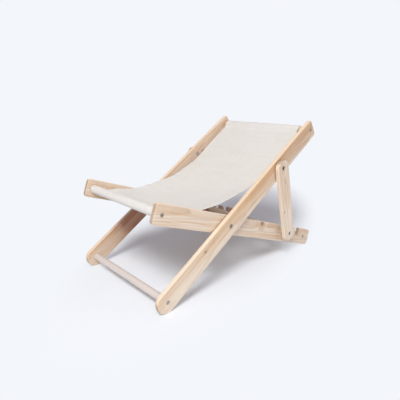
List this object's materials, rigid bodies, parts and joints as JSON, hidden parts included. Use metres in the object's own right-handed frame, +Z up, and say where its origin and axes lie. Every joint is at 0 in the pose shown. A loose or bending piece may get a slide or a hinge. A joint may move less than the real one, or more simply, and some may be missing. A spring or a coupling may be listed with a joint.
{
  "type": "folding pet chair",
  "caption": "Folding deck chair for a pet: crossed wooden laths hold a canvas sling between dowels, and a rear prop drops into notched rails to set how far it reclines.",
  "frame": {"origin": "on the floor, under the middle of the chair's bounding box, as it stands open on the first notch", "axes": "+Z up, -Y towards the front of the seat and +Y towards the head end, X across the chair with +X at the left of a pet that looks forwards out of it"},
  "size_m": [0.367, 0.6078, 0.3901],
  "materials": {
    "pine": "planed pine under clear matt varnish",
    "dowel_pine": "turned pine dowel under clear matt varnish",
    "canvas": "undyed plain-weave cotton canvas",
    "zinc": "zinc-plated, slightly dulled"
  },
  "bodies": {
    "seat_frame": {"seat_rail_left": "pine", "seat_rail_right": "pine", "front_dowel": "dowel_pine", "rear_bar": "dowel_pine", "front_dowel_screw_left": "zinc", "front_dowel_screw_right": "zinc", "rear_bar_screw_left": "zinc", "rear_bar_screw_right": "zinc", "main_pivot_bolt_left": "zinc", "main_pivot_bolt_right": "zinc", "main_pivot_nut_left": "zinc", "main_pivot_nut_right": "zinc", "main_pivot_washer_left": "zinc", "main_pivot_washer_right": "zinc"},
    "back_frame": {"back_rail_left": "pine", "back_rail_right": "pine", "foot_bar": "dowel_pine", "head_dowel": "dowel_pine", "foot_bar_screw_left": "zinc", "foot_bar_screw_right": "zinc", "head_dowel_screw_left": "zinc", "head_dowel_screw_right": "zinc", "prop_pivot_bolt_left": "zinc", "prop_pivot_bolt_right": "zinc", "prop_pivot_nut_left": "zinc", "prop_pivot_nut_right": "zinc", "prop_pivot_washer_left": "zinc", "prop_pivot_washer_right": "zinc", "sling": "canvas"},
    "prop_frame": {"prop_strut_left": "pine", "prop_strut_right": "pine", "prop_crossbar": "dowel_pine", "crossbar_screw_left": "zinc", "crossbar_screw_right": "zinc"}
  },
  "joints": [
    {"name": "back_fold", "type": "hinge", "parent": "seat_frame", "child": "back_frame", "pos_m": [0, -0.07852, 0.15421], "axis": [1, 0, 0], "range_deg": [0, 118], "deforming": ["sling"]},
    {"name": "prop_fold", "type": "hinge", "parent": "back_frame", "child": "prop_frame", "pos_m": [0, 0.10687, 0.2745], "axis": [1, 0, 0], "range_deg": [-60, 0]}
  ],
  "couplings": [
    {"joint": "prop_fold", "follows": "back_fold", "ratio": -0.505}
  ]
}
